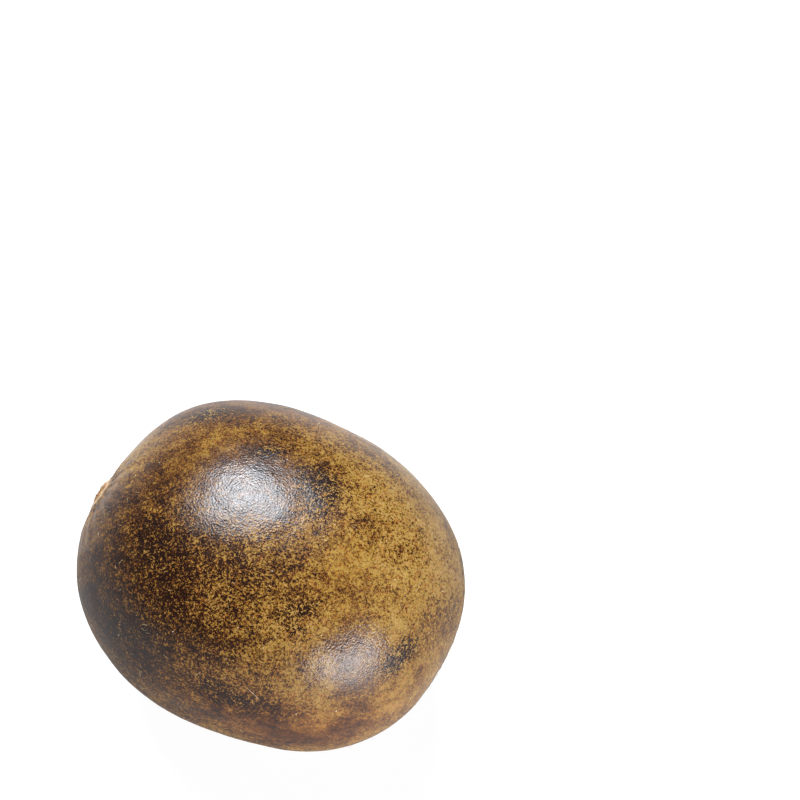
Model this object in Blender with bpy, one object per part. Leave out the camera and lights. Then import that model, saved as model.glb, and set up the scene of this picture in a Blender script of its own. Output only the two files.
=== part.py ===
"""A whole dried monk fruit, lying on its side on the small flat spot that it rests on.

The fruit is one hard, dry body: a ball drawn out along X, with slightly square shoulders,
a few broad flats and swellings left by drying, the round scar of the stalk at one end and
the smaller scar of the flower at the other. Metres, +Z up, the origin under the middle of
the fruit on the surface that it lies on.
"""
import math

import bmesh
import bpy
from mathutils import Matrix, Vector, noise

# Driving dimensions of the body, in metres.
LENGTH = 0.0632
WIDTH = 0.0534
HEIGHT = 0.0522
SHOULDER_POWER = 2.18  # 2 is a plain ellipsoid, and more is squarer at the shoulders
REST_SPOT_DEPTH = 0.0003  # how much of the roundness the resting spot takes away

# The stalk's scar is tipped up from -X and turned to the front by this much, and the flower's
# scar is opposite it.
POLE_TILT = math.radians(17.0)
POLE_TURN = math.radians(3.0)

# Broad swellings (above 0) and flats (below 0) of the dried rind. Each has its heading
# round Z from +X, its height above level and its spread, in degrees, and its rise in metres.
SWELLS = {
    "flower_flat": (-5.0, -13.0, 28.0, -0.00135),
    "front_flat": (-70.0, -24.0, 34.0, -0.0012),
    "stalk_flat": (172.0, 14.0, 28.0, -0.00115),
    "stalk_swell": (-168.0, 6.0, 28.0, 0.0011),
    "back_swell": (138.0, 24.0, 28.0, 0.00125),
    "back_flat": (48.0, 10.0, 28.0, -0.00045),
}

# Slow unevenness of the whole rind.
UNEVEN_RISE = 0.00022
UNEVEN_SCALE = 2.6  # waves across the fruit
UNEVEN_PLACE = Vector((4.1, 9.7, 2.3))

# The stalk's scar: a low round pad with a raised rim, a dished middle and a shallow moat.
STALK_PAD_RADIUS = 0.0023
STALK_PAD_RISE = 0.00045
STALK_PAD_EDGE = 6  # more is a steeper rim
STALK_DISH_RADIUS = 0.0012
STALK_DISH_DEPTH = 0.00055
STALK_MOAT_RADIUS = 0.0042
STALK_MOAT_DEPTH = 0.00015

# The flower's scar: a small ring round a nib.
FLOWER_RING_RADIUS = 0.0015
FLOWER_RING_RISE = 0.00025
FLOWER_RING_WIDTH = 0.0005
FLOWER_NIB_RADIUS = 0.0005
FLOWER_NIB_RISE = 0.0004

# The mesh: slices round the poles' line, and rings along it that close up near the scars.
MERIDIANS = 80
RINGS = 64
RING_CROWDING = 0.74  # 0 is even, and nearer 1 is finer at the poles
LEAST_RIM_EDGE = 0.0006  # shorter edges at the resting spot's rim are closed up

RIND_COLOUR = (0.27, 0.16, 0.045, 1.0)
RIND_ROUGHNESS = 0.45


def clear_scene():
    for old in list(bpy.data.objects):
        bpy.data.objects.remove(old, do_unlink=True)


def heading(azimuth_deg, height_deg):
    """The unit vector at this heading round Z from +X and this height above level."""
    azimuth, height = math.radians(azimuth_deg), math.radians(height_deg)
    level = math.cos(height)
    return Vector((level * math.cos(azimuth), level * math.sin(azimuth), math.sin(height)))


def stalk_direction():
    """The unit vector from the middle of the fruit to the stalk's scar."""
    tip = Vector((-1.0, 0.0, 0.0))
    tip.rotate(Matrix.Rotation(POLE_TILT, 3, "Y"))
    tip.rotate(Matrix.Rotation(POLE_TURN, 3, "Z"))
    return tip


def bell(distance, spread):
    """1 at the middle, falling smoothly to nothing a little past the spread."""
    return math.exp(-((distance / spread) ** 2))


def plain_radius(direction):
    """Distance from the middle to the skin of the plain, square-shouldered ball."""
    half = (LENGTH / 2, WIDTH / 2, HEIGHT / 2)
    total = sum(abs(part / side) ** SHOULDER_POWER for part, side in zip(direction, half))
    return total ** (-1.0 / SHOULDER_POWER)


def swell_rise(direction):
    rise = 0.0
    for azimuth_deg, height_deg, spread_deg, swell in SWELLS.values():
        apart = direction.angle(heading(azimuth_deg, height_deg))
        rise += swell * bell(apart, math.radians(spread_deg))
    return rise


def uneven_rise(direction):
    return UNEVEN_RISE * noise.noise(direction * UNEVEN_SCALE + UNEVEN_PLACE)


def stalk_scar_rise(off_axis):
    """Height of the stalk's scar at this distance from its middle."""
    pad = STALK_PAD_RISE / (1.0 + (off_axis / STALK_PAD_RADIUS) ** STALK_PAD_EDGE)
    dish = STALK_DISH_DEPTH * bell(off_axis, STALK_DISH_RADIUS)
    moat = STALK_MOAT_DEPTH * bell(off_axis - STALK_MOAT_RADIUS, STALK_PAD_RADIUS / 2)
    return pad - dish - moat


def flower_scar_rise(off_axis):
    """Height of the flower's scar at this distance from its middle."""
    ring = FLOWER_RING_RISE * bell(off_axis - FLOWER_RING_RADIUS, FLOWER_RING_WIDTH)
    return ring + FLOWER_NIB_RISE * bell(off_axis, FLOWER_NIB_RADIUS)


def skin_point(direction, stalk):
    """The point of the finished skin in this direction from the middle."""
    radius = plain_radius(direction) + swell_rise(direction) + uneven_rise(direction)
    off_axis = radius * direction.cross(stalk).length
    scar = stalk_scar_rise if direction.dot(stalk) > 0 else flower_scar_rise
    return direction * (radius + scar(off_axis))


def ring_angle(share):
    """Angle from the stalk's end, for this share of the rings, crowded near both ends."""
    crowded = share - RING_CROWDING * math.sin(2 * math.pi * share) / (2 * math.pi)
    return math.pi * crowded


def ball_mesh(stalk):
    """A unit ball whose poles are the two scars: half an outline, spun round their line."""
    bm = bmesh.new()
    side = stalk.orthogonal().normalized()
    outline = []
    for ring in range(RINGS + 1):
        angle = ring_angle(ring / RINGS)
        outline.append(bm.verts.new(stalk * math.cos(angle) + side * math.sin(angle)))
    edges = [bm.edges.new(pair) for pair in zip(outline, outline[1:])]
    bmesh.ops.spin(
        bm,
        geom=outline + edges,
        cent=(0.0, 0.0, 0.0),
        axis=stalk,
        angle=2 * math.pi,
        steps=MERIDIANS,
    )
    bmesh.ops.remove_doubles(bm, verts=bm.verts, dist=1e-5)
    return bm


def close_short_rim_edges(bm, rim):
    """Welds what the cut left almost touching the rim, so that no sliver stands there."""
    welds = {}
    kept = set()
    for vert in rim:
        if vert in welds:
            continue
        kept.add(vert)
        for edge in vert.link_edges:
            near = edge.other_vert(vert)
            if edge.calc_length() < LEAST_RIM_EDGE and near not in kept:
                welds[near] = vert
    bmesh.ops.weld_verts(bm, targetmap=welds)


def flatten_rest_spot(bm):
    """Cuts the lowest sliver off level and closes it with one flat face."""
    cut_height = min(v.co.z for v in bm.verts) + REST_SPOT_DEPTH
    cut = bmesh.ops.bisect_plane(
        bm,
        geom=bm.verts[:] + bm.edges[:] + bm.faces[:],
        plane_co=(0.0, 0.0, cut_height),
        plane_no=(0.0, 0.0, -1.0),
        clear_outer=True,
    )
    rim = [part for part in cut["geom_cut"] if isinstance(part, bmesh.types.BMVert)]
    for vert in rim:
        vert.co.z = cut_height
    close_short_rim_edges(bm, rim)
    open_edges = [edge for edge in bm.edges if edge.is_boundary]
    return bmesh.ops.contextual_create(bm, geom=open_edges)["faces"]


def stand_on_origin(bm):
    """Moves the fruit so that the origin is under its middle, on the surface."""
    low = [min(v.co[axis] for v in bm.verts) for axis in range(3)]
    high = [max(v.co[axis] for v in bm.verts) for axis in range(3)]
    middle = Vector(((low[0] + high[0]) / 2, (low[1] + high[1]) / 2, low[2]))
    bmesh.ops.translate(bm, verts=bm.verts, vec=-middle)


def rind_material():
    material = bpy.data.materials.new("rind")
    material.use_nodes = True
    shader = material.node_tree.nodes["Principled BSDF"]
    shader.inputs["Base Color"].default_value = RIND_COLOUR
    shader.inputs["Roughness"].default_value = RIND_ROUGHNESS
    shader.inputs["Metallic"].default_value = 0.0
    material.diffuse_color = RIND_COLOUR
    return material


def build_fruit():
    stalk = stalk_direction()
    bm = ball_mesh(stalk)
    for vert in bm.verts:
        vert.co = skin_point(vert.co.normalized(), stalk)
    bmesh.ops.recalc_face_normals(bm, faces=bm.faces)
    spot = flatten_rest_spot(bm)
    stand_on_origin(bm)
    for face in bm.faces:
        face.smooth = face not in spot
    mesh = bpy.data.meshes.new("fruit")
    bm.to_mesh(mesh)
    bm.free()
    mesh.materials.append(rind_material())
    fruit = bpy.data.objects.new("fruit", mesh)
    bpy.context.scene.collection.objects.link(fruit)
    return fruit


def main():
    clear_scene()
    build_fruit()


main()
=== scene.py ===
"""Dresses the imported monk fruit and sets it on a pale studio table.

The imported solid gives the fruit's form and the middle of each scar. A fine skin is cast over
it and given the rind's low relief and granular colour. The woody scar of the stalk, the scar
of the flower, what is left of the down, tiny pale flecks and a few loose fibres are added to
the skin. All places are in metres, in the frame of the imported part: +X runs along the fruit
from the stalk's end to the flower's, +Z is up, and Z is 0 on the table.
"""

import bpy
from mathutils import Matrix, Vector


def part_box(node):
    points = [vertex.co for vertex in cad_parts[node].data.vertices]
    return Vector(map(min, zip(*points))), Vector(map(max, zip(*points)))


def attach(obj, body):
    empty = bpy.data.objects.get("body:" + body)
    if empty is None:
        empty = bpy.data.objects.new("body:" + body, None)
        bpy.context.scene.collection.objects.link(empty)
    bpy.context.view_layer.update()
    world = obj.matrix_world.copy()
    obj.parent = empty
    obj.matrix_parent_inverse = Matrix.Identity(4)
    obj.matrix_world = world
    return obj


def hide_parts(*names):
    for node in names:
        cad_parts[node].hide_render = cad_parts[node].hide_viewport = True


bl_info = {
    "name": "Monk Fruit",
    "version": (1, 0, 0),
    "blender": (4, 5, 0),
    "location": "View3D > Sidebar > Monk Fruit",
    "description": "A dried monk fruit with a speckled rind, its scars, and a studio table",
    "category": "Add Mesh",
}

import math

import bmesh
import bpy
import numpy as np
from bpy.props import (
    FloatProperty,
    FloatVectorProperty,
    IntProperty,
    PointerProperty,
)
from mathutils import Matrix, Vector, noise
from mathutils.bvhtree import BVHTree

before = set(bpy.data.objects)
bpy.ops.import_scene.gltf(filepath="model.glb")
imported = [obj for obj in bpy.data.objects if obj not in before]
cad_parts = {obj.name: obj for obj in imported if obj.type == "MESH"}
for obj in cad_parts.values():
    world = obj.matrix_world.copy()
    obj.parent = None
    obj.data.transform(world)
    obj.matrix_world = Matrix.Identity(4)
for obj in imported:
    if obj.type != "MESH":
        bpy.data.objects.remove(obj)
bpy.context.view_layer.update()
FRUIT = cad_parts["fruit"]
LOW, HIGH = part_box("fruit")
MIDDLE = (LOW + HIGH) / 2

MM = 0.001

# The stalk's scar is tipped up from -X and turned to the front, and the flower's is opposite it.
STALK_TIP_UP = math.radians(17.0)
STALK_TURN = math.radians(3.0)
STALK = Vector((-1.0, 0.0, 0.0))
STALK.rotate(Matrix.Rotation(STALK_TIP_UP, 3, "Y"))
STALK.rotate(Matrix.Rotation(STALK_TURN, 3, "Z"))

# Broad shades and blotches of the rind, its grain and its wear. Each has its heading
# round Z from +X, its height above level, its half width and half height (all in degrees),
# and how far it darkens the rind, where a number below 0 lets more of the gold through. In
# GRAIN the last number sharpens the grain, or blends it away below 0; in RED it is how red the
# rind is, in DULL how worn the wax is, and in WRINKLES how much deeper the fine ripples are.
SHADES = {
    "stalk_side": (-140, 46, 30, 28, 0.245),
    # Painted shade: stalk_low darkens the low flank, to hold back the light that the glowing table
    # throws up on it.
    "stalk_low": (-124, 10, 26, 20, 0.12),
    "belly": (-98, 50, 30, 16, 0.09),
    "middle": (-84, 67, 34, 14, 0.07),
    "belly_low": (-104, 26, 34, 16, 0.13),
    # Painted shade: front_low darkens the low front, where the table beside the fruit would lie in
    # its shadow.
    "front_low": (-70, 0, 44, 16, 0.14),
    "belly_gold": (-58, 43, 18, 12, -0.12),
    # crown and crown_back are partly the rind's own darker tone and partly painted shade, which
    # holds back the key softbox's light on the top.
    "crown": (140, 80, 26, 15, 0.20),
    "crown_back": (126, 45, 34, 20, 0.16),
    "stalk_back": (174, 46, 30, 22, -0.065),
    "flower_back": (66, 52, 20, 16, -0.03),
    "gold_cheek": (16, 48, 26, 20, -0.10),
    "gold_crown": (-18, 60, 30, 14, 0.04),
    "gold_chin": (-26, 31, 34, 26, -0.11),
    "crown_gap": (100, 62, 18, 10, -0.14),
    # chin_shine is partly the rind's own darker tone and partly painted shade under the front
    # softbox's highlight, so that the highlight stays white.
    "chin_shine": (-36, 34, 17, 13, 0.18),
    "back_gold": (78, 8, 34, 26, -0.16),
    "back_brown": (128, -10, 34, 26, 0.18),
    "stalk_gold": (-172, -6, 26, 22, -0.12),
    "under_brown": (-30, -48, 60, 26, 0.14),
    "flower_brown": (2, -8, 16, 12, 0.16),
}
BLOTCHES = {
    "crown_blotch": (50, 68.5, 6.5, 3.8, 0.36),
    "crown_blotch_tail": (40, 75.5, 9, 2.8, 0.34),
    "back_crown_blotch": (142, 40, 6, 4, 0.30),
    "crown_spot": (115, 67.2, 4.5, 2.3, 0.32),
    "belly_spot": (-126, 20, 4.2, 3.6, 0.34),
    "stalk_spot": (-139, 47, 8, 5, 0.22),
    "middle_spot": (-50, 53.5, 6, 2.6, 0.26),
    "middle_spot_low": (-54, 48, 3, 2, 0.20),
    "front_streak": (-79, 20, 9, 2.4, 0.40),
    "front_streak_high": (-88, 24, 5, 2.2, 0.26),
    "flower_spot": (-19.5, 25.7, 6, 3.4, 0.40),
    "back_spot": (98, 22, 6, 4, 0.34),
    "back_spot_low": (64, -18, 7, 4, 0.30),
    "stalk_back_spot": (160, 12, 5, 6, 0.28),
    "flower_back_spot": (24, 10, 5, 4, 0.32),
    "under_spot": (-150, -34, 8, 6, 0.30),
}
GRAIN = {
    "belly": (-122, 54, 30, 24, 0.42),
    "middle": (-70, 64, 22, 12, 0.06),
    "flower_cheek": (20, 50, 16, 13, 0.36),
    "gold_crown": (-8, 57, 22, 14, -0.34),
    "chin": (-20, 17, 24, 16, -0.28),
    "front_low": (-58, 4, 34, 14, -0.48),
    "stalk_back": (166, 48, 32, 20, -0.34),
    "back": (100, 4, 30, 24, -0.25),
    "stalk_low": (-168, -14, 26, 20, -0.20),
    "flower_low": (30, -20, 24, 18, 0.25),
    "stalk_flank": (-152, 6, 20, 30, -0.35),
    "back_shoulder": (112, 30, 40, 14, -0.30),
    "crown_shine": (150, 78, 22, 18, -0.45),
    "chin_shine": (-37, 34, 17, 13, -0.40),
}
RED = {
    "front_low": (-58, 5, 38, 16, 0.7),
    "belly": (-122, 46, 28, 20, 0.3),
    "front_mid": (-86, 20, 30, 14, 0.35),
    "back_low": (122, -6, 30, 20, 0.6),
    "back_shoulder": (92, 36, 20, 14, 0.4),
    "flower_low": (8, -22, 22, 16, 0.5),
    "stalk_low": (-164, -20, 24, 16, 0.5),
}
DULL = {
    "stalk_flank": (-155, 0, 30, 42, 0.45),
    "back_shoulder": (115, 25, 52, 22, 0.4),
    "front_low": (-70, -14, 56, 38, 0.8),
    "belly_low": (-118, -8, 30, 24, 0.5),
    "flower_flank": (27, -2, 28, 36, 0.8),
    "under": (0, -75, 60, 60, 0.6),
    "front_mid": (-82, 21, 30, 14, 0.6),
}
WRINKLES = {
    "crown": (178, 78, 22, 17, 0.70),
    "chin": (-38, 33, 22, 17, 0.9),
    "back": (96, 6, 30, 20, 0.5),
    "stalk_low": (-150, -18, 24, 18, 0.5),
}
# The fields by the names under which the skin's points keep them.
PAINTED = {
    "tone": SHADES,
    "blotch": BLOTCHES,
    "grain": GRAIN,
    "red": RED,
    "dull": DULL,
    "wrinkle": WRINKLES,
}

# How much gold the rind shows: a level, moved by so much of each pattern of noise.
GOLD_LEVEL = 0.46
CLOUD_SIZE, CLOUD_SHARE = 8.0 * MM, 0.68
FLOCK_SIZE, FLOCK_SHARE = 1.9 * MM, 0.76
TATTER_SIZE, TATTER_SHARE = 0.85 * MM, 0.42
CLUSTER_SHARE, SPECK_SHARE = 2.2, 1.7
GRAIN_STRENGTH = 0.66  # where GRAIN adds nothing
BLOTCH_GRAIN = 3.6  # how much stronger the grains are in a blotch

PUCKER_BENDS, PUCKER_BENDING = 2.2, 9.0  # how many bends the folds have, and how strong
RED_FLOCK_SIZE = 0.9 * MM
HUE_SPECK_SIZE = 0.34 * MM
RIPPLE_SIZE = 0.29 * MM
PLAIN_RIPPLE = 0.60  # where WRINKLES adds nothing
CREASE_SHARE = 0.10
WAVE_SPACING = 0.314  # from band to band of the wave texture at a scale of 1
DULL_ROUGHNESS = 0.42
RIND_IOR, SCAR_IOR = 1.32, 1.25

COLLAR_DEG = 5.2  # half width of the paler rind round the stalk's scar
COLLAR_EDGE = 6  # more is a steeper edge
SCAR_BED = 0.3 * MM  # how far a scar's disc is sunk in the skin
CORK_PLATE, BARK_PLATE = 0.85 * MM, 0.6 * MM
CRACK_WIDTH = 0.16  # in plates
BUNDLE_RING = 0.42  # radius of the bundles' ring, in radii of the pad
BUNDLE_TURN = 6.28  # nearly a whole turn
BUNDLE_SEED = 5

# Loose fibres on the skin: the heading and height where each starts and ends, and its bow.
FIBRES = {
    "belly_fibre": ((-74.2, 26.4), (-69.8, 22.6), 0.006),
    "crown_fibre": ((-160, 71), (-150, 67.5), -0.01),
    "back_fibre": ((104, 31), (112, 36), 0.02),
    "flower_fibre": ((12, -3), (19, 6), -0.02),
    "stalk_fibre": ((-164, -4), (-157, -12), 0.02),
}
FIBRE_RADIUS = 0.03 * MM
FIBRE_SIDES = 5
FIBRE_STEPS = 14

# A hair of length 1: its root just under the skin, its bend and its tip.
HAIR = {"Start": (0.0, 0.0, -0.06), "Middle": (0.12, 0.0, 0.34), "End": (0.92, 0.0, 0.30)}
PER_CM2 = 1e4  # in each square metre

# Each softbox has its setting, its heading and height, its distance, and its width and height.
SOFTBOXES = {
    "key_softbox": ("key_radiance", 131.0, 59.0, 0.90, 0.54, 0.38),
    "key_core": ("core_radiance", 129.5, 51.5, 0.88, 0.22, 0.18),
    "front_softbox": ("front_radiance", -36.0, 13.0, 1.0, 0.68, 0.30),
    "fill_softbox": ("fill_radiance", 0.0, 32.0, 1.2, 1.1, 0.9),
}
FROST_SCALE = 900.0  # lumps of the frosted glass to a metre
SENSOR_MM = 36.0
PICTURE_SIDE = 800
FRUIT_IN_PICTURE = (271.7, 577.4)  # pixels from the left and from the top


# Sizes and colours that a user would change


def length(name, description, default):
    return FloatProperty(name=name, description=description, default=default, unit="LENGTH")


def angle(name, description, default):
    return FloatProperty(name=name, description=description, default=default, subtype="ANGLE")


def amount(name, description, default):
    return FloatProperty(name=name, description=description, default=default)


def count(name, description, default, least):
    return IntProperty(name=name, description=description, default=default, min=least)


def colour(name, description, default):
    return FloatVectorProperty(
        name=name, description=description, default=default, subtype="COLOR"
    )


class RindSettings(bpy.types.PropertyGroup):
    meridians: count("Meridians", "Slices of the skin round the poles' line", 400, 16)
    rings: count("Rings", "Rings of the skin from scar to scar", 240, 8)
    dent_size: length("Dent size", "Width of a slow dent", 11 * MM)
    dent_depth: length("Dent depth", "Depth of the slow dents", 0.16 * MM)
    pebble_size: length("Pebble size", "Width of a low swelling", 3.0 * MM)
    pebble_depth: length("Pebble depth", "Height of the swellings", 0.05 * MM)
    grain_size: length("Grain size", "Width of a coarse grain", 1.1 * MM)
    grain_depth: length("Grain depth", "Height of the coarse grain", 0.018 * MM)
    pucker_count: count("Puckers", "Shallow folds that run in to each scar", 17, 3)
    pucker_depth: length("Pucker depth", "Depth of the folds at the scars", 0.11 * MM)
    pucker_reach: length("Pucker reach", "How far the folds run out", 6.5 * MM)
    speckle_size: length("Speckle size", "Width of a cluster of grains", 0.42 * MM)
    speck_size: length("Speck size", "Width of a single grain", 0.17 * MM)
    crease_spacing: length("Crease spacing", "From one fine crease to the next", 0.38 * MM)
    ripple_depth: length("Ripple depth", "Depth of the finest ripples", 0.036 * MM)
    darkest: colour("Darkest", "Violet black of the oldest grains", (0.0085, 0.0034, 0.0022))
    umber: colour("Umber", "Dark brown under the grains", (0.034, 0.0120, 0.0034))
    brown: colour("Brown", "Middle brown", (0.068, 0.026, 0.0054))
    ochre: colour("Ochre", "Ochre grains", (0.129, 0.061, 0.0105))
    gold: colour("Gold", "Golden grains", (0.180, 0.100, 0.0196))
    straw: colour("Straw", "Palest grains", (0.222, 0.135, 0.0450))
    collar: colour("Collar", "Tan rind round the stalk's scar", (0.34, 0.215, 0.105))


class StalkScarSettings(bpy.types.PropertyGroup):
    radius: length("Radius", "Radius of the woody pad", 2.0 * MM)
    rise: length("Rise", "How far the pad stands over the skin", 0.24 * MM)
    crack_depth: length("Crack depth", "Depth of the cracks in the pad", 0.14 * MM)
    bundles: count("Bundles", "Broken ends of fibre bundles", 9, 0)
    bundle_radius: length("Bundle radius", "Radius of a fibre bundle", 0.13 * MM)
    cork: colour("Cork", "Pale tan of the pad", (0.40, 0.23, 0.105))
    cork_dark: colour("Dark cork", "Brown of the cracks", (0.09, 0.042, 0.018))


class FlowerScarSettings(bpy.types.PropertyGroup):
    radius: length("Radius", "Radius of the scar's outer edge", 1.95 * MM)
    ring_radius: length("Ring radius", "Radius of the raised ring", 1.2 * MM)
    ring_rise: length("Ring rise", "Height of the ring", 0.20 * MM)
    nib_rise: length("Nib rise", "Height of the broken style", 0.34 * MM)
    bark: colour("Bark", "Brown of the ring", (0.15, 0.072, 0.020))
    bark_dark: colour("Dark bark", "Brown of the cracks", (0.026, 0.011, 0.005))


class DownSettings(bpy.types.PropertyGroup):
    seed: count("Seed", "Seed of the scatter", 11, 0)
    hairs_per_cm2: amount("Hairs", "Hairs on a square centimetre near the scars", 55.0)
    hair_length: length("Hair length", "Length of a hair", 0.75 * MM)
    hair_radius: length("Hair radius", "Radius at a hair's root", 0.011 * MM)
    flecks_per_cm2: amount("Flecks", "Flecks of scurf on a square centimetre", 1.7)
    fleck_size: length("Fleck size", "Width of a fleck", 0.17 * MM)
    straw_hair: colour("Hair colour", "Straw yellow of the down", (0.62, 0.47, 0.25))
    fibre_colour: colour("Fibre colour", "Pale tan of the loose fibres", (0.50, 0.38, 0.24))
    pale_fleck: colour("Pale fleck colour", "Off-white of the flecks", (0.66, 0.58, 0.48))


class StageSettings(bpy.types.PropertyGroup):
    camera_heading: angle(
        "Camera heading", "How far the camera stands round from the front", math.radians(24.8)
    )
    camera_height: angle("Camera height", "The camera's angle above level", math.radians(65.0))
    camera_distance: length("Camera distance", "From the middle of the fruit", 0.43)
    lens: FloatProperty(
        name="Lens", description="Focal length on a sensor 36 mm wide", default=119.16,
        subtype="DISTANCE_CAMERA",
    )
    table_radius: length("Table radius", "Radius of the pale table", 1.6)
    table_colour: colour(
        "Table colour", "Grey of the frosted glass before it glows", (0.07, 0.07, 0.07)
    )
    table_glow: amount("Table glow", "Light that comes up through the white table", 0.93)
    key_radiance: amount("Key softbox", "Radiance of the high softbox behind", 32.0)
    core_radiance: amount("Key core", "Extra radiance of the key softbox's hot middle", 43.0)
    front_radiance: amount("Front softbox", "Radiance of the low softbox in front", 38.0)
    fill_radiance: amount("Fill", "Radiance of the wide, weak light on the right", 0.5)
    light_colour: colour("Light colour", "The softboxes are a little cool", (0.93, 0.99, 1.06))
    room_light: amount("Room", "Radiance of the dim room overhead", 0.008)
    horizon_light: amount("Horizon", "Radiance of the pale horizon", 0.80)


# Short ways to wire a node tree


class Wiring:
    """Adds nodes to one tree. An input is a number, a tuple or the output of another node."""

    def __init__(self, tree):
        self.tree = tree

    def node(self, kind, inputs=None, **settings):
        made = self.tree.nodes.new(kind)
        for name, value in settings.items():
            setattr(made, name, value)
        for name, value in (inputs or {}).items():
            if isinstance(value, bpy.types.NodeSocket):
                self.tree.links.new(value, made.inputs[name])
            else:
                made.inputs[name].default_value = value
        return made

    def out(self, kind, inputs=None, **settings):
        """The first output of a new node."""
        return self.node(kind, inputs, **settings).outputs[0]

    def math(self, operation, *values, clamp=False):
        inputs = dict(enumerate(values))
        return self.out("ShaderNodeMath", inputs, operation=operation, use_clamp=clamp)

    def vector(self, operation, *values):
        made = self.node("ShaderNodeVectorMath", dict(enumerate(values)), operation=operation)
        return made.outputs["Value" if operation == "DOT_PRODUCT" else "Vector"]

    def scaled(self, vector, factor):
        return self.out("ShaderNodeVectorMath", {0: vector, "Scale": factor}, operation="SCALE")

    def noise(self, place, size, detail=2.0, roughness=0.5):
        """Soft noise from 0 to 1, in lumps of this size."""
        from_socket = isinstance(size, bpy.types.NodeSocket)
        scale = self.math("DIVIDE", 1.0, size) if from_socket else 1 / size
        inputs = {"Vector": place, "Scale": scale, "Detail": detail, "Roughness": roughness}
        return self.out("ShaderNodeTexNoise", inputs)

    def swayed(self, base, pattern, share):
        """The base, moved up and down by this share of a pattern from 0 to 1."""
        return self.math("MULTIPLY_ADD", self.math("SUBTRACT", pattern, 0.5), share, base)

    def ramp_between(self, value, low, high, to_low=0.0, to_high=1.0):
        inputs = {0: value, 1: low, 2: high, 3: to_low, 4: to_high}
        return self.out("ShaderNodeMapRange", inputs, interpolation_type="SMOOTHSTEP")

    def mix_colour(self, factor, first, second, blend="MIX"):
        inputs = {0: factor}
        for slot, value in ((6, first), (7, second)):
            inputs[slot] = value if isinstance(value, bpy.types.NodeSocket) else (*value, 1.0)
        return self.node("ShaderNodeMix", inputs, data_type="RGBA", blend_type=blend).outputs[2]


def socket_kind(value):
    """The kind of tree input that takes this value."""
    kinds = {bpy.types.Object: "Object", Vector: "Vector", int: "Int", float: "Float"}
    return next("NodeSocket" + kind for held, kind in kinds.items() if isinstance(value, held))


def grown(name, build, values, material):
    """The plain mesh that a geometry tree makes of these named values, as a new object.

    The tree's inputs are the values. What stands between them and the finished geometry is
    wired by the function build, which is given the wiring and the inputs.
    """
    tree = bpy.data.node_groups.new(f"Monk fruit {name}", "GeometryNodeTree")
    sockets = tree.interface
    sockets.new_socket("Geometry", in_out="INPUT", socket_type="NodeSocketGeometry")
    ids = {}
    for label, value in values.items():
        made = sockets.new_socket(label, in_out="INPUT", socket_type=socket_kind(value))
        ids[label] = made.identifier
    sockets.new_socket("Geometry", in_out="OUTPUT", socket_type="NodeSocketGeometry")
    wire = Wiring(tree)
    geometry = build(wire, wire.node("NodeGroupInput").outputs)
    realised = wire.out("GeometryNodeRealizeInstances", {0: geometry})
    painted = wire.out("GeometryNodeSetMaterial", {"Geometry": realised, "Material": material})
    wire.node("NodeGroupOutput", {0: painted})

    base = placed(name + "_seedbed", bpy.data.meshes.new(name + "_seedbed"))
    modifier = base.modifiers.new("grow", "NODES")
    modifier.node_group = tree
    for label, value in values.items():
        modifier[ids[label]] = value
    graph = bpy.context.evaluated_depsgraph_get()
    mesh = bpy.data.meshes.new_from_object(base.evaluated_get(graph))
    base.modifiers.clear()
    bpy.data.objects.remove(base)
    mesh.name = name
    mesh.materials.clear()
    mesh.materials.append(material)
    return placed(name, mesh)


def placed(name, data):
    """A new object of this mesh, lamp or camera."""
    made = bpy.data.objects.new(name, data)
    bpy.context.scene.collection.objects.link(made)
    return made


def smooth_mesh(name, bm):
    """A smooth-shaded mesh of this bmesh, which is used up."""
    bmesh.ops.recalc_face_normals(bm, faces=bm.faces)
    for face in bm.faces:
        face.smooth = True
    mesh = bpy.data.meshes.new(name)
    bm.to_mesh(mesh)
    bm.free()
    return mesh


def new_material(name, colour):
    """A new material, the wiring of its tree, its shader and the place on the fruit."""
    material = bpy.data.materials.new(name)
    material.use_nodes = True
    material.diffuse_color = (*colour, 1.0)
    wire = Wiring(material.node_tree)
    shader = material.node_tree.nodes["Principled BSDF"]
    place = wire.node("ShaderNodeTexCoord").outputs["Object"]
    return material, wire, shader, place


def object_named(name):
    """The piece of this name, made by an earlier step."""
    found = bpy.data.objects.get(name)
    if found is None:
        raise RuntimeError(f"{name} has to be made first")
    return found


# Directions and places on the fruit


def heading(azimuth_deg, height_deg):
    """The unit vector at this heading round Z from +X and this height above level."""
    azimuth, height = math.radians(azimuth_deg), math.radians(height_deg)
    level = math.cos(height)
    return Vector((level * math.cos(azimuth), level * math.sin(azimuth), math.sin(height)))


def skin_tree():
    """The finished skin, for finding the point under a direction."""
    skin = object_named("rind")
    bm = bmesh.new()
    bm.from_mesh(skin.data)
    tree = BVHTree.FromBMesh(bm)
    bm.free()
    return tree


def on_skin(tree, direction):
    """The point and the outward normal of the skin in this direction from the middle."""
    point, normal, _, _ = tree.ray_cast(MIDDLE, direction)
    if point is None:
        raise RuntimeError("the skin has a hole")
    return point, normal


# The rind


# The inputs of the rind's tree that are also settings of the same name.
RIND_INPUTS = (
    "Meridians",
    "Rings",
    "Dent size",
    "Dent depth",
    "Pebble size",
    "Pebble depth",
    "Grain size",
    "Grain depth",
    "Pucker count",
    "Pucker reach",
    "Pucker depth",
)


def smooth_guide():
    """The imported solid's form without its facets: a merged, quadded and subdivided copy."""
    bm = bmesh.new()
    bm.from_mesh(FRUIT.data)
    bmesh.ops.remove_doubles(bm, verts=bm.verts, dist=0.001 * MM)
    bmesh.ops.join_triangles(
        bm, faces=bm.faces, angle_face_threshold=0.7, angle_shape_threshold=0.7
    )
    mesh = bpy.data.meshes.new("guide")
    bm.to_mesh(mesh)
    bm.free()
    guide = placed("guide", mesh)
    smoothing = guide.modifiers.new("smooth", "SUBSURF")
    smoothing.levels = smoothing.render_levels = 2
    return guide


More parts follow.
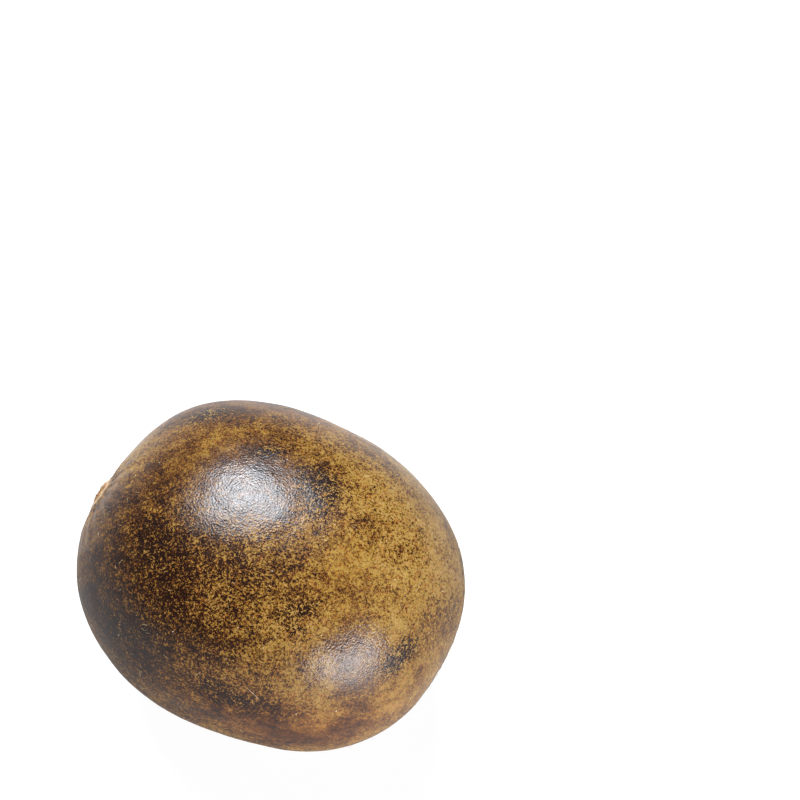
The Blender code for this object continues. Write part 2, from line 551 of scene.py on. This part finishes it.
def pucker_field(wire, given, unit):
    """Shallow folds that run out from both scars, as a height from -1 to 1."""
    around = wire.node("ShaderNodeSeparateXYZ", {0: unit}).outputs
    angle_round = wire.math("ARCTAN2", around["Y"], around["X"])
    wander = wire.out("ShaderNodeTexNoise", {"Vector": unit, "Scale": PUCKER_BENDS, "Detail": 2.0})
    turns = wire.math("MULTIPLY", angle_round, given["Pucker count"])
    fold = wire.math("SINE", wire.math("MULTIPLY_ADD", wander, PUCKER_BENDING, turns))
    squares = (wire.math("MULTIPLY", around[axis], around[axis]) for axis in "XY")
    off_pole = wire.math("SQRT", wire.math("ADD", *squares))
    reach = wire.math("DIVIDE", given["Pucker reach"], MIDDLE.z)
    share = wire.math("DIVIDE", off_pole, reach)
    falling = wire.math("MULTIPLY", wire.math("MULTIPLY", share, share), -1.0)
    fade_out = wire.math("EXPONENT", falling)
    fade_in = wire.ramp_between(share, 0.25, 0.6)
    return wire.math("MULTIPLY", wire.math("MULTIPLY", fade_out, fade_in), fold)


def rind_tree(wire, given):
    """A fine ball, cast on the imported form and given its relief. It rests on the table."""
    ball = wire.out(
        "GeometryNodeMeshUVSphere",
        {"Segments": given["Meridians"], "Rings": given["Rings"], "Radius": 1.0},
    )
    unit = wire.out("GeometryNodeInputPosition")
    kept = wire.out(
        "GeometryNodeStoreNamedAttribute",
        {"Geometry": ball, "Name": "unit", "Value": unit},
        data_type="FLOAT_VECTOR",
        domain="POINT",
    )
    turn = wire.out("FunctionNodeAlignRotationToVector", {"Vector": given["Stalk"]}, axis="Z")
    outward = wire.out("FunctionNodeRotateVector", {"Vector": unit, "Rotation": turn})
    form = wire.node("GeometryNodeObjectInfo", {"Object": given["Form"]})
    cast = wire.node(
        "GeometryNodeRaycast",
        {
            "Target Geometry": form.outputs["Geometry"],
            "Source Position": given["Middle"],
            "Ray Direction": outward,
            "Ray Length": 0.1,
        },
    )
    distance = cast.outputs["Hit Distance"]
    reach = wire.out("GeometryNodeBlurAttribute", {0: distance, "Iterations": 2})
    place = wire.vector("ADD", given["Middle"], wire.scaled(outward, reach))
    laid = wire.out("GeometryNodeSetPosition", {"Geometry": kept, "Position": place})

    here = wire.out("GeometryNodeInputPosition")
    stored = wire.out(
        "GeometryNodeInputNamedAttribute", {"Name": "unit"}, data_type="FLOAT_VECTOR"
    )
    rise = 0.0
    for label, detail in (("Dent", 1.0), ("Pebble", 2.0), ("Grain", 1.0)):
        pattern = wire.noise(here, given[f"{label} size"], detail)
        swing = wire.math("MULTIPLY_ADD", pattern, 2.0, -1.0)
        rise = wire.math("MULTIPLY_ADD", swing, given[f"{label} depth"], rise)
    folds = pucker_field(wire, given, stored)
    rise = wire.math("MULTIPLY_ADD", folds, given["Pucker depth"], rise)
    lift = wire.scaled(wire.out("GeometryNodeInputNormal"), rise)
    raised = wire.out("GeometryNodeSetPosition", {"Geometry": laid, "Offset": lift})

    # The skin lies on the table and never below it.
    now = wire.node("ShaderNodeSeparateXYZ", {0: here}).outputs
    above = wire.math("MAXIMUM", now["Z"], 0.0)
    level = wire.out("ShaderNodeCombineXYZ", {"X": now["X"], "Y": now["Y"], "Z": above})
    rested = wire.out("GeometryNodeSetPosition", {"Geometry": raised, "Position": level})
    return wire.out("GeometryNodeSetShadeSmooth", {0: rested})


def shade_at(directions, shades):
    """The sum of these shades at each direction."""
    total = np.zeros(len(directions))
    for azimuth, height, half_width, half_height, darkness in shades.values():
        towards = heading(azimuth, height)
        east = Vector((0.0, 0.0, 1.0)).cross(towards).normalized()
        north = towards.cross(east)
        across = directions @ np.array(east) / math.sin(math.radians(half_width))
        along = directions @ np.array(north) / math.sin(math.radians(half_height))
        in_front = directions @ np.array(towards) > 0
        total += darkness * np.exp(-(across**2) - along**2) * in_front
    return total


def keep_on_points(skin, name, values):
    attribute = skin.data.attributes.new(name, "FLOAT", "POINT")
    attribute.data.foreach_set("value", values.astype(np.float32))


def paint_tone(skin):
    """Keeps on each point the sum of each painted field, and the pale collar."""
    count = len(skin.data.vertices)
    points = np.empty(count * 3, np.float32)
    skin.data.vertices.foreach_get("co", points)
    directions = points.reshape(-1, 3) - np.array(MIDDLE)
    directions /= np.linalg.norm(directions, axis=1, keepdims=True)
    for name, shades in PAINTED.items():
        keep_on_points(skin, name, shade_at(directions, shades))
    off_stalk = np.degrees(np.arccos(np.clip(directions @ np.array(STALK), -1.0, 1.0)))
    keep_on_points(skin, "collar", 1.0 / (1.0 + (off_stalk / COLLAR_DEG) ** COLLAR_EDGE))


def rind_material(settings):
    material, wire, shader, place = new_material("monk_fruit_rind", settings.gold)
    tone, blotch, grain, red, dull, wrinkle, collar = (
        wire.node("ShaderNodeAttribute", attribute_name=name).outputs["Fac"]
        for name in (*PAINTED, "collar")
    )
    clusters = wire.noise(place, settings.speckle_size, 2.0, 0.62)
    specks = wire.noise(place, settings.speck_size, 1.0)
    flock = wire.noise(place, FLOCK_SIZE, 3.0, 0.62)
    tatter = wire.noise(place, TATTER_SIZE, 3.0, 0.62)
    cloud = wire.noise(place, CLOUD_SIZE, 3.0, 0.55)

    # How much gold shows: the broad tone, clouds, flocks of grains, and the grains themselves.
    level = wire.math("MULTIPLY_ADD", tone, -1.0, GOLD_LEVEL)
    level = wire.swayed(level, cloud, CLOUD_SHARE)
    flocks = wire.swayed(wire.swayed(0.0, flock, FLOCK_SHARE), tatter, TATTER_SHARE)
    mottled = wire.math("ADD", grain, 1.0, clamp=True)
    level = wire.math("MULTIPLY_ADD", flocks, mottled, level)
    torn = wire.math("MULTIPLY", blotch, wire.ramp_between(tatter, 0.42, 0.52, 0.0, 1.8))
    level = wire.math("SUBTRACT", level, torn)
    sharp = wire.math("ADD", grain, GRAIN_STRENGTH)
    sharp = wire.math("MULTIPLY_ADD", blotch, BLOTCH_GRAIN, sharp)
    grains = wire.swayed(wire.swayed(0.0, clusters, CLUSTER_SHARE), specks, SPECK_SHARE)
    grains = wire.math("MULTIPLY_ADD", grains, sharp, level)

    ramp = wire.node("ShaderNodeValToRGB", {0: grains})
    stops = (
        (0.12, settings.darkest),
        (0.26, settings.umber),
        (0.37, settings.brown),
        (0.49, settings.ochre),
        (0.60, settings.gold),
        (1.00, settings.straw),
    )
    elements = ramp.color_ramp.elements
    while len(elements) < len(stops):
        elements.new(0.5)
    for element, (position, shade) in zip(elements, stops):
        element.position = position
        element.color = (*shade, 1.0)

    # Flocks of redder grains, and single ones that are greyer or a clearer yellow.
    reds = wire.noise(place, RED_FLOCK_SIZE, 2.0, 0.6)
    hues = wire.noise(place, HUE_SPECK_SIZE, 1.0)
    redder = wire.math("ADD", red, wire.ramp_between(reds, 0.48, 0.66, 0.0, 0.65), clamp=True)
    greyer = wire.ramp_between(hues, 0.45, 0.30, 0.0, 0.8)
    yellower = wire.ramp_between(hues, 0.56, 0.70, 0.0, 0.8)
    coloured = wire.mix_colour(redder, ramp.outputs[0], (1.0, 0.76, 0.72), "MULTIPLY")
    coloured = wire.mix_colour(greyer, coloured, (0.84, 0.96, 1.6), "MULTIPLY")
    coloured = wire.mix_colour(yellower, coloured, (1.04, 1.05, 0.6), "MULTIPLY")
    bare = wire.ramp_between(wire.swayed(collar, tatter, 0.9), 0.35, 0.75, 0.0, 0.85)
    coloured = wire.mix_colour(bare, coloured, settings.collar)
    wire.tree.links.new(coloured, shader.inputs["Base Color"])

    polished = wire.ramp_between(specks, 0.32, 0.66, 0.18, 0.30)
    roughness = wire.math("MULTIPLY_ADD", dull, DULL_ROUGHNESS, polished)
    wire.tree.links.new(roughness, shader.inputs["Roughness"])

    # Ripples about as fine as the grain, with a trace of creases like those of a finger's skin.
    # Their slopes are gentle, so that a highlight breaks up and still stays where it is.
    ripples = wire.noise(place, RIPPLE_SIZE, 0.0)
    creases = wire.node(
        "ShaderNodeTexWave",
        {
            "Vector": place,
            "Scale": WAVE_SPACING / settings.crease_spacing,
            "Distortion": 14.0,
            "Detail": 2.0,
            "Detail Scale": 0.6,
        },
    ).outputs["Fac"]
    height = wire.math("MULTIPLY_ADD", creases, CREASE_SHARE, ripples)
    height = wire.math("MULTIPLY", height, wire.math("ADD", wrinkle, PLAIN_RIPPLE))
    bump = wire.out(
        "ShaderNodeBump", {"Strength": 1.0, "Distance": settings.ripple_depth, "Height": height}
    )
    wire.tree.links.new(bump, shader.inputs["Normal"])
    shader.inputs["IOR"].default_value = RIND_IOR
    return material


class MONKFRUIT_OT_rind(bpy.types.Operator):
    """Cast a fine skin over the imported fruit, with its relief and its speckled colour"""

    bl_idname = "monkfruit.rind"
    bl_label = "Rind"

    def execute(self, context):
        settings = context.scene.monkfruit_rind
        material = rind_material(settings)
        guide = smooth_guide()
        values = {"Form": guide, "Middle": MIDDLE, "Stalk": STALK}
        for label in RIND_INPUTS:
            values[label] = getattr(settings, label.lower().replace(" ", "_"))
        skin = grown("rind", rind_tree, values, material)
        bpy.data.objects.remove(guide)
        paint_tone(skin)
        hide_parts("fruit")
        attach(skin, "root")
        return {"FINISHED"}


# The scars


def scar_disc(name, axis, radius, rise_at, rings, spokes):
    """A closed low disc in the skin round this axis. rise_at says how high it stands."""
    tree = skin_tree()
    side = axis.orthogonal().normalized()
    across = axis.cross(side)
    reach = (on_skin(tree, axis)[0] - MIDDLE).length
    bm = bmesh.new()
    crown = bm.verts.new(on_skin(tree, axis)[0] + axis * rise_at(Vector((0.0, 0.0, 0.0))))
    rows = []
    for ring in range(1, rings + 1):
        row = []
        for spoke in range(spokes):
            angle = 2 * math.pi * spoke / spokes
            flat = Vector((math.cos(angle), math.sin(angle), 0.0)) * (radius * ring / rings)
            towards = axis * reach + side * flat.x + across * flat.y
            point, _ = on_skin(tree, towards.normalized())
            row.append(bm.verts.new(point + axis * rise_at(flat)))
        rows.append(row)
    rows.append([bm.verts.new(vert.co - axis * SCAR_BED) for vert in rows[-1]])
    root = bm.verts.new(crown.co - axis * 2 * SCAR_BED)
    for spoke in range(spokes):
        after = (spoke + 1) % spokes
        bm.faces.new((crown, rows[0][spoke], rows[0][after]))
        bm.faces.new((root, rows[-1][after], rows[-1][spoke]))
        for inner, outer in zip(rows, rows[1:]):
            bm.faces.new((inner[spoke], outer[spoke], outer[after], inner[after]))
    return placed(name, smooth_mesh(name, bm))


def bell(distance, spread):
    """1 at the middle, falling smoothly to nothing a little past the spread."""
    return math.exp(-((distance / spread) ** 2))


def crack_at(flat, plate):
    """1 in a crack between two plates of this size, and 0 on a plate."""
    nearest, _ = noise.voronoi(flat / plate)
    return bell(nearest[1] - nearest[0], CRACK_WIDTH)


def scar_material(name, pale, dark, plate):
    """Dry corky wood: pale plates with fine fibre, and dark in the cracks between them."""
    material, wire, shader, place = new_material(name, pale)
    plates = wire.node(
        "ShaderNodeTexVoronoi", {"Vector": place, "Scale": 1 / plate}, feature="DISTANCE_TO_EDGE"
    ).outputs["Distance"]
    drawn_out = wire.vector("MULTIPLY", place, (1.0, 2.2, 2.2))
    fibre = wire.noise(drawn_out, 0.16 * MM, 3.0, 0.65)
    patch = wire.noise(place, 0.9 * MM)
    age = wire.math("MULTIPLY_ADD", patch, 0.55, wire.math("MULTIPLY", fibre, 0.55))
    shade = wire.mix_colour(wire.ramp_between(age, 0.40, 0.70), pale, dark)
    in_crack = wire.ramp_between(plates, 0.0, 0.11, 0.75, 0.0)
    shade = wire.mix_colour(in_crack, shade, dark)
    wire.tree.links.new(shade, shader.inputs["Base Color"])
    roughness = wire.ramp_between(fibre, 0.3, 0.7, 0.55, 0.8)
    wire.tree.links.new(roughness, shader.inputs["Roughness"])
    bump = wire.out("ShaderNodeBump", {"Strength": 0.7, "Distance": 0.05 * MM, "Height": fibre})
    wire.tree.links.new(bump, shader.inputs["Normal"])
    shader.inputs["IOR"].default_value = SCAR_IOR
    return material


def stalk_pad(settings, material):
    """The round woody pad that the stalk broke from, with a worn rim, plates and a sunk middle."""

    def rise(flat):
        share = flat.length / settings.radius
        top = settings.rise * (1.0 - share**7) - 0.35 * settings.rise * bell(share, 0.42)
        worn = 0.22 * settings.rise * noise.noise(flat / (0.7 * MM) + Vector((3.0, 1.0, 0.0)))
        cracked = settings.crack_depth * crack_at(flat, CORK_PLATE) * (1.0 - share**4)
        return top + worn - cracked - 0.02 * MM * share

    pad = scar_disc("stalk_scar", STALK, settings.radius, rise, rings=30, spokes=112)
    pad.data.materials.append(material)
    return pad


def lean_and_turn(wire, upright, lean, turn, seed):
    """This upright rotation, turned at random round its own axis and leaned a little."""
    euler = wire.out(
        "FunctionNodeRandomValue",
        {0: (-lean, -lean, 0.0), 1: (lean, lean, turn), "Seed": seed},
        data_type="FLOAT_VECTOR",
    )
    by = wire.out("FunctionNodeEulerToRotation", {0: euler})
    inputs = {"Rotation": upright, "Rotate By": by}
    return wire.out("FunctionNodeRotateRotation", inputs, rotation_space="LOCAL")


def copies(wire, points, instance, rotation, sizes, seed):
    """The instance on each point, at a random size between these two."""
    inputs = {2: sizes[0], 3: sizes[1], "Seed": seed}
    size = wire.node("FunctionNodeRandomValue", inputs, data_type="FLOAT").outputs[1]
    return wire.out(
        "GeometryNodeInstanceOnPoints",
        {"Points": points, "Instance": instance, "Rotation": rotation, "Scale": size},
    )


def bundle_tree(wire, given):
    """Stubs of broken fibre bundles, in a ring on the pad."""
    circle = wire.out(
        "GeometryNodeMeshCircle", {"Vertices": given["Bundles"], "Radius": given["Ring radius"]}
    )
    upright = wire.out("FunctionNodeAlignRotationToVector", {"Vector": given["Axis"]}, axis="Z")
    ring = wire.out(
        "GeometryNodeTransform",
        {"Geometry": circle, "Translation": given["Place"], "Rotation": upright},
    )
    jitter = wire.out(
        "FunctionNodeRandomValue",
        {0: (-0.2 * MM,) * 3, 1: (0.2 * MM,) * 3, "Seed": given["Seed"]},
        data_type="FLOAT_VECTOR",
    )
    spread = wire.out("GeometryNodeSetPosition", {"Geometry": ring, "Offset": jitter})
    here = wire.out("GeometryNodeInputPosition")
    pad = wire.node("GeometryNodeObjectInfo", {"Object": given["Pad"]})
    drop = wire.node(
        "GeometryNodeRaycast",
        {
            "Target Geometry": pad.outputs["Geometry"],
            "Source Position": wire.vector("ADD", here, wire.scaled(given["Axis"], 4 * MM)),
            "Ray Direction": wire.scaled(given["Axis"], -1.0),
            "Ray Length": 10 * MM,
        },
    )
    seat = drop.outputs["Hit Position"]
    seated = wire.out("GeometryNodeSetPosition", {"Geometry": spread, "Position": seat})
    stub = wire.out(
        "GeometryNodeMeshCone",
        {
            "Vertices": 9,
            "Side Segments": 2,
            "Fill Segments": 1,
            "Radius Top": wire.math("MULTIPLY", given["Bundle radius"], 0.72),
            "Radius Bottom": given["Bundle radius"],
            "Depth": wire.math("MULTIPLY", given["Bundle radius"], 2.0),
        },
    )
    leaning = lean_and_turn(wire, upright, 0.35, BUNDLE_TURN, given["Seed"])
    return copies(wire, seated, stub, leaning, (0.6, 1.2), given["Seed"])


class MONKFRUIT_OT_stalk_scar(bpy.types.Operator):
    """Set the woody pad of the stalk's scar and its broken fibre bundles"""

    bl_idname = "monkfruit.stalk_scar"
    bl_label = "Stalk Scar"

    def execute(self, context):
        settings = context.scene.monkfruit_stalk_scar
        material = scar_material("stalk_cork", settings.cork, settings.cork_dark, CORK_PLATE)
        pad = stalk_pad(settings, material)
        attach(pad, "root")
        values = {
            "Pad": pad,
            "Place": on_skin(skin_tree(), STALK)[0],
            "Axis": STALK,
            "Bundles": settings.bundles,
            "Ring radius": BUNDLE_RING * settings.radius,
            "Bundle radius": settings.bundle_radius,
            "Seed": BUNDLE_SEED,
        }
        bundles = grown("stalk_bundles", bundle_tree, values, material)
        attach(bundles, "root")
        return {"FINISHED"}


class MONKFRUIT_OT_flower_scar(bpy.types.Operator):
    """Set the raised ring and the broken style of the flower's scar"""

    bl_idname = "monkfruit.flower_scar"
    bl_label = "Flower Scar"

    def execute(self, context):
        settings = context.scene.monkfruit_flower_scar

        def rise(flat):
            off = flat.length
            edge = 0.05 * MM * (1.0 - 1.6 * (off / settings.radius) ** 6)
            ring = settings.ring_rise * bell(off - settings.ring_radius, 0.30 * MM)
            nib = settings.nib_rise * bell(off, 0.42 * MM)
            worn = 0.04 * MM * noise.noise(flat / (0.45 * MM) + Vector((7.0, 2.0, 0.0)))
            cracked = 0.06 * MM * crack_at(flat, BARK_PLATE) * (1.0 - off / settings.radius)
            return edge + ring + nib + worn - cracked

        scar = scar_disc("flower_scar", -STALK, settings.radius, rise, rings=28, spokes=96)
        material = scar_material("flower_bark", settings.bark, settings.bark_dark, BARK_PLATE)
        scar.data.materials.append(material)
        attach(scar, "root")
        return {"FINISHED"}


# The down, the pale flecks and the loose fibres


def scattered(wire, given, instance, density, lean, sizes):
    """Copies of the instance on the skin, this dense, leaned, turned and sized at random."""
    skin = wire.node("GeometryNodeObjectInfo", {"Object": given["Skin"]}).outputs["Geometry"]
    points = wire.node(
        "GeometryNodeDistributePointsOnFaces",
        {"Mesh": skin, "Density": density, "Seed": given["Seed"]},
        distribute_method="RANDOM",
    ).outputs
    leaning = lean_and_turn(wire, points["Rotation"], lean, 2 * math.pi, given["Seed"])
    return copies(wire, points["Points"], instance, leaning, sizes, given["Seed"])


def clear_of_table(wire, here):
    """0 on the table and just over it, and 1 above."""
    height = wire.node("ShaderNodeSeparateXYZ", {0: here}).outputs["Z"]
    return wire.ramp_between(height, 0.8 * MM, 2.5 * MM)


def down_tree(wire, given):
    """Short bent hairs, thick at the scars and sparse and patchy elsewhere."""
    here = wire.out("GeometryNodeInputPosition")
    outward = wire.vector("NORMALIZE", wire.vector("SUBTRACT", here, given["Middle"]))
    to_pole = wire.math("ABSOLUTE", wire.vector("DOT_PRODUCT", outward, given["Stalk"]))
    thick = wire.ramp_between(to_pole, 0.84, 0.985, 0.07, 1.0)
    patches = wire.ramp_between(wire.noise(here, 6 * MM), 0.42, 0.62, 0.15, 1.3)
    density = wire.math("MULTIPLY", given["Density"], wire.math("MULTIPLY", thick, patches))
    density = wire.math("MULTIPLY", density, clear_of_table(wire, here))
    line = wire.out("GeometryNodeCurveQuadraticBezier", {"Resolution": 4, **HAIR})
    along = wire.node("GeometryNodeSplineParameter").outputs["Factor"]
    taper = wire.math("MULTIPLY_ADD", along, -0.8, 1.0)
    tapered = wire.out("GeometryNodeSetCurveRadius", {"Curve": line, "Radius": taper})
    thin = wire.math("DIVIDE", given["Radius"], given["Length"])
    ring = wire.out("GeometryNodeCurvePrimitiveCircle", {"Resolution": 3, "Radius": thin})
    hair = wire.out(
        "GeometryNodeCurveToMesh", {"Curve": tapered, "Profile Curve": ring, "Fill Caps": True}
    )
    scale = wire.scaled((1.0, 1.0, 1.0), given["Length"])
    sized = wire.out("GeometryNodeTransform", {"Geometry": hair, "Scale": scale})
    return scattered(wire, given, sized, density, 0.3, (0.45, 1.35))


def fleck_tree(wire, given):
    """Tiny flat pale chips that lie on the skin."""
    here = wire.out("GeometryNodeInputPosition")
    density = wire.math("MULTIPLY", given["Density"], clear_of_table(wire, here))
    ball = wire.out("GeometryNodeMeshIcoSphere", {"Radius": 0.5, "Subdivisions": 1})
    scale = wire.scaled((1.0, 1.0, 1.0), given["Size"])
    flat = wire.vector("MULTIPLY", (1.0, 0.62, 0.34), scale)
    chip = wire.out("GeometryNodeTransform", {"Geometry": ball, "Scale": flat})
    return scattered(wire, given, chip, density, 0.25, (0.45, 1.5))


def dry_material(name, colour, roughness):
    """Dry plant matter of one colour, a little mottled."""
    material, wire, shader, place = new_material(name, colour)
    mottle = wire.noise(place, 0.5 * MM)
    shade = wire.ramp_between(mottle, 0.3, 0.7, 0.0, 0.6)
    deeper = tuple(part * part for part in colour)
    wire.tree.links.new(wire.mix_colour(shade, colour, deeper), shader.inputs["Base Color"])
    shader.inputs["Roughness"].default_value = roughness
    return material


def fibre_line(tree, start, end, bow):
    """Points on the skin from one heading to another, bowed to one side."""
    first, last = heading(*start), heading(*end)
    sideways = first.cross(last).normalized()
    line = []
    for step in range(FIBRE_STEPS + 1):
        share = step / FIBRE_STEPS
        towards = first.lerp(last, share) + sideways * bow * math.sin(math.pi * share)
        point, normal = on_skin(tree, towards.normalized())
        line.append(point + normal * FIBRE_RADIUS * 0.8)
    return line


def fibre_tube(bm, line):
    """A thin closed tube along this line."""
    rows = []
    for index, point in enumerate(line):
        along = line[min(index + 1, len(line) - 1)] - line[max(index - 1, 0)]
        outward = (point - MIDDLE).normalized()
        sideways = along.cross(outward).normalized()
        share = index / (len(line) - 1)
        radius = FIBRE_RADIUS * (0.35 + 0.65 * math.sin(math.pi * (0.08 + 0.84 * share)))
        row = []
        for side in range(FIBRE_SIDES):
            turn = 2 * math.pi * side / FIBRE_SIDES
            off = (sideways * math.cos(turn) + outward * math.sin(turn)) * radius
            row.append(bm.verts.new(point + off))
        rows.append(row)
    for side in range(FIBRE_SIDES):
        after = (side + 1) % FIBRE_SIDES
        for near, far in zip(rows, rows[1:]):
            bm.faces.new((near[side], near[after], far[after], far[side]))
    bm.faces.new(rows[0])
    bm.faces.new(rows[-1])


class MONKFRUIT_OT_down(bpy.types.Operator):
    """Scatter what is left of the down, and tiny pale flecks, over the skin"""

    bl_idname = "monkfruit.down"
    bl_label = "Down and Pale fleck"

    def execute(self, context):
        settings = context.scene.monkfruit_down
        skin = object_named("rind")
        straw = dry_material("straw_down", settings.straw_hair, 0.45)
        values = {
            "Skin": skin,
            "Middle": MIDDLE,
            "Stalk": STALK,
            "Density": settings.hairs_per_cm2 * PER_CM2,
            "Length": settings.hair_length,
            "Radius": settings.hair_radius,
            "Seed": settings.seed,
        }
        down = grown("down", down_tree, values, straw)
        # The flecks are tiny flat pale chips, scattered over the skin and kept off the table.
        pale_fleck = dry_material("pale_chip", settings.pale_fleck, 0.6)
        values = {
            "Skin": skin,
            "Density": settings.flecks_per_cm2 * PER_CM2,
            "Size": settings.fleck_size,
            "Seed": settings.seed + 1,
        }
        flecks = grown("scurf_flecks", fleck_tree, values, pale_fleck)
        for piece in (down, flecks):
            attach(piece, "root")
        return {"FINISHED"}


class MONKFRUIT_OT_fibres(bpy.types.Operator):
    """Lay a few loose fibres on the skin"""

    bl_idname = "monkfruit.fibres"
    bl_label = "Loose Fibres"

    def execute(self, context):
        settings = context.scene.monkfruit_down
        tree = skin_tree()
        bm = bmesh.new()
        for start, end, bow in FIBRES.values():
            fibre_tube(bm, fibre_line(tree, start, end, bow))
        mesh = smooth_mesh("loose_fibres", bm)
        mesh.materials.append(dry_material("loose_fibre", settings.fibre_colour, 0.5))
        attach(placed("loose_fibres", mesh), "root")
        return {"FINISHED"}


# The stage


def softbox(name, settings):
    """A soft rectangular lamp that faces the fruit. The camera doesn't see it."""
    radiance, azimuth, height, distance, wide, high = SOFTBOXES[name]
    direction = heading(azimuth, height)
    light = bpy.data.lights.new(name, "AREA")
    light.shape = "RECTANGLE"
    light.size = wide
    light.size_y = high
    light.energy = getattr(settings, radiance) * math.pi * wide * high
    light.color = settings.light_colour
    made = placed(name, light)
    made.location = MIDDLE + direction * distance
    made.rotation_euler = (-direction).to_track_quat("-Z", "Y").to_euler()
    made.visible_camera = False


def white_table(settings):
    """A round table of frosted glass that glows a little."""
    bm = bmesh.new()
    bmesh.ops.create_circle(bm, cap_ends=True, segments=96, radius=settings.table_radius)
    mesh = bpy.data.meshes.new("table")
    bm.to_mesh(mesh)
    bm.free()
    material, wire, shader, place = new_material("white_table", settings.table_colour)
    grain = wire.out("ShaderNodeTexNoise", {"Vector": place, "Scale": FROST_SCALE, "Detail": 3.0})
    shade = wire.ramp_between(grain, 0.3, 0.7, 0.985, 1.0)
    tinted = wire.out("ShaderNodeCombineColor", {0: shade, 1: shade, 2: shade})
    tinted = wire.mix_colour(1.0, settings.table_colour, tinted, "MULTIPLY")
    wire.tree.links.new(tinted, shader.inputs["Base Color"])
    shader.inputs["Roughness"].default_value = 0.6
    shader.inputs["Emission Color"].default_value = (1.0, 1.0, 1.0, 1.0)
    shader.inputs["Emission Strength"].default_value = settings.table_glow
    mesh.materials.append(material)
    table = placed("table", mesh)


def studio_room(settings):
    """A pale horizon, and a dim room above it that leaves the softboxes their contrast."""
    world = bpy.data.worlds.new("studio_room")
    world.use_nodes = True
    wire = Wiring(world.node_tree)
    background = world.node_tree.nodes["Background"]
    towards = wire.node("ShaderNodeTexCoord").outputs["Generated"]
    height = wire.node("ShaderNodeSeparateXYZ", {0: towards}).outputs["Z"]
    light = wire.ramp_between(height, 0.0, 0.12, settings.horizon_light, settings.room_light)
    background.inputs["Color"].default_value = (1.0, 1.0, 1.0, 1.0)
    wire.tree.links.new(light, background.inputs["Strength"])
    bpy.context.scene.world = world


def photo_camera(settings):
    """The camera stands where the photographer's did, and aims at the middle of the picture."""
    side, rise = settings.camera_heading, settings.camera_height
    towards = Vector(
        (math.sin(side) * math.cos(rise), -math.cos(side) * math.cos(rise), math.sin(rise))
    )
    across = Vector((math.cos(side), math.sin(side), 0.0))
    upward = towards.cross(across)
    square_on = Matrix((across, upward, towards)).transposed()

    focal_pixels = settings.lens / SENSOR_MM * PICTURE_SIDE
    right = (FRUIT_IN_PICTURE[0] - PICTURE_SIDE / 2) / focal_pixels
    up = (PICTURE_SIDE / 2 - FRUIT_IN_PICTURE[1]) / focal_pixels
    to_fruit = Vector((right, up, -1.0)).normalized()
    off_centre = Vector((0.0, 0.0, -1.0)).rotation_difference(to_fruit).to_matrix()

    data = bpy.data.cameras.new("photo_camera")
    data.lens = settings.lens
    data.sensor_width = SENSOR_MM
    data.clip_start = 0.01
    data.clip_end = 20.0
    camera = placed("photo_camera", data)
    camera.location = MIDDLE + towards * settings.camera_distance
    camera.rotation_euler = (square_on @ off_centre.inverted()).to_euler()
    bpy.context.scene.camera = camera


class MONKFRUIT_OT_stage(bpy.types.Operator):
    """Set the white table, the softboxes, the room and the camera"""

    bl_idname = "monkfruit.stage"
    bl_label = "Stage"

    def execute(self, context):
        settings = context.scene.monkfruit_stage
        white_table(settings)
        for name in SOFTBOXES:
            softbox(name, settings)
        studio_room(settings)
        photo_camera(settings)
        context.scene.view_settings.view_transform = "Standard"
        return {"FINISHED"}


# The add-on


GROUPS = {
    "monkfruit_rind": RindSettings,
    "monkfruit_stalk_scar": StalkScarSettings,
    "monkfruit_flower_scar": FlowerScarSettings,
    "monkfruit_down": DownSettings,
    "monkfruit_stage": StageSettings,
}
OPERATORS = (
    MONKFRUIT_OT_rind,
    MONKFRUIT_OT_stalk_scar,
    MONKFRUIT_OT_flower_scar,
    MONKFRUIT_OT_down,
    MONKFRUIT_OT_fibres,
    MONKFRUIT_OT_stage,
)


class MONKFRUIT_PT_panel(bpy.types.Panel):
    """The steps that dress the fruit, in order"""

    bl_idname = "MONKFRUIT_PT_panel"
    bl_label = "Monk Fruit"
    bl_space_type = "VIEW_3D"
    bl_region_type = "UI"
    bl_category = "Monk Fruit"

    def draw(self, context):
        for operator in OPERATORS:
            self.layout.operator(operator.bl_idname)


def register():
    for group in GROUPS.values():
        bpy.utils.register_class(group)
    for operator in OPERATORS:
        bpy.utils.register_class(operator)
    bpy.utils.register_class(MONKFRUIT_PT_panel)
    for name, group in GROUPS.items():
        setattr(bpy.types.Scene, name, PointerProperty(type=group))


def unregister():
    for name in GROUPS:
        delattr(bpy.types.Scene, name)
    bpy.utils.unregister_class(MONKFRUIT_PT_panel)
    for operator in reversed(OPERATORS):
        bpy.utils.unregister_class(operator)
    for group in reversed(list(GROUPS.values())):
        bpy.utils.unregister_class(group)


def main():
    register()
    bpy.ops.monkfruit.rind()
    bpy.ops.monkfruit.stalk_scar()
    bpy.ops.monkfruit.flower_scar()
    bpy.ops.monkfruit.down()
    bpy.ops.monkfruit.fibres()
    bpy.ops.monkfruit.stage()


if __name__ == "__main__":
    main()
